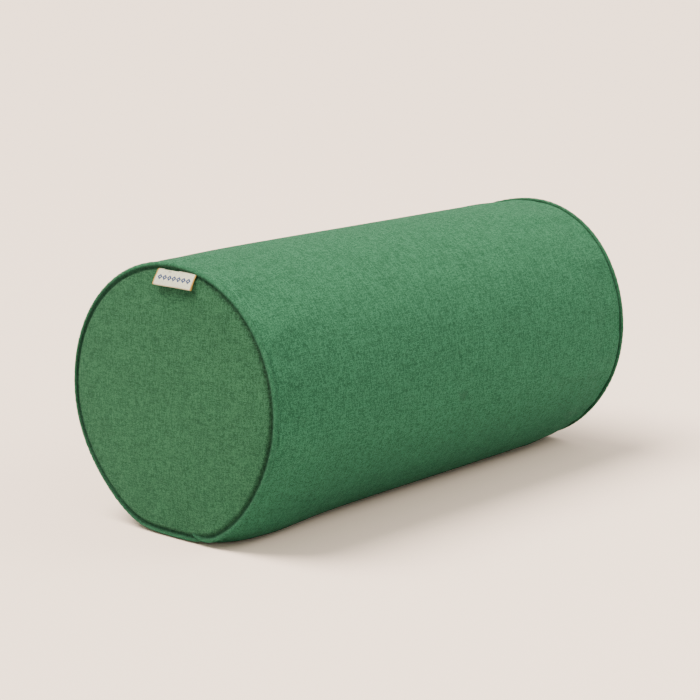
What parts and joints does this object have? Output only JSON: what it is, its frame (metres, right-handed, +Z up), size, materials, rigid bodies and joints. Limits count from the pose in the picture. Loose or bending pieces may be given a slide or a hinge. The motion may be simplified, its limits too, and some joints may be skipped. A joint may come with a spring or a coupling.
{
  "type": "bolster pillow",
  "caption": "Round bolster pillow in green linen-look fabric with corded seams, flat ends, a folded loop label and a zipped, removable cover.",
  "frame": {"origin": "middle of the settled flat on which the pillow rests", "axes": "+X along the pillow's axis away from the labelled end, +Y towards the zip, +Z up"},
  "size_m": [0.4796, 0.2318, 0.2255],
  "materials": {
    "cover_linen": "mid-green linen-look weave with light and dark slubs",
    "end_linen": "the same linen-look weave, laid flat on the end",
    "piping_linen": "the same fabric, bias cut round a cord",
    "piping_cord": "twisted cotton cord",
    "label_ribbon": "ivory woven ribbon with an ochre edge",
    "zip_tape": "woven polyester tape dyed to match",
    "zip_coil": "dyed nylon coil",
    "zip_metal": "antique brass plating",
    "liner_cotton": "plain cotton",
    "wadding": "soft polyester wadding",
    "foam": "open-cell foam"
  },
  "bodies": {
    "pillow": {"cover_body_panel": "cover_linen", "cover_end_panel_left": "end_linen", "cover_end_panel_right": "end_linen", "piping_strip_left": "piping_linen", "piping_strip_right": "piping_linen", "piping_cord_left": "piping_cord", "piping_cord_right": "piping_cord", "label_loop": "label_ribbon", "zip_tape_upper": "zip_tape", "zip_tape_lower": "zip_tape", "zip_coil_upper": "zip_coil", "zip_coil_lower": "zip_coil", "zip_top_stop_upper": "zip_metal", "zip_top_stop_lower": "zip_metal", "zip_bottom_stop": "zip_metal", "liner_body": "liner_cotton", "liner_end_left": "liner_cotton", "liner_end_right": "liner_cotton", "wadding_wrap": "wadding", "wadding_end_left": "wadding", "wadding_end_right": "wadding", "foam_core": "foam"},
    "slider": {"zip_slider": "zip_metal"},
    "pull": {"zip_pull_tab": "zip_metal"}
  },
  "joints": [
    {"name": "zip_slide", "type": "slide", "parent": "pillow", "child": "slider", "axis": [-1, 0, 0], "range_m": [0, 0.379]},
    {"name": "pull_swing", "type": "hinge", "parent": "slider", "child": "pull", "pos_m": [0.1895, 0.11482, 0.12869], "axis": [0, 0.1564, -0.9877], "range_deg": [0, 175]}
  ]
}
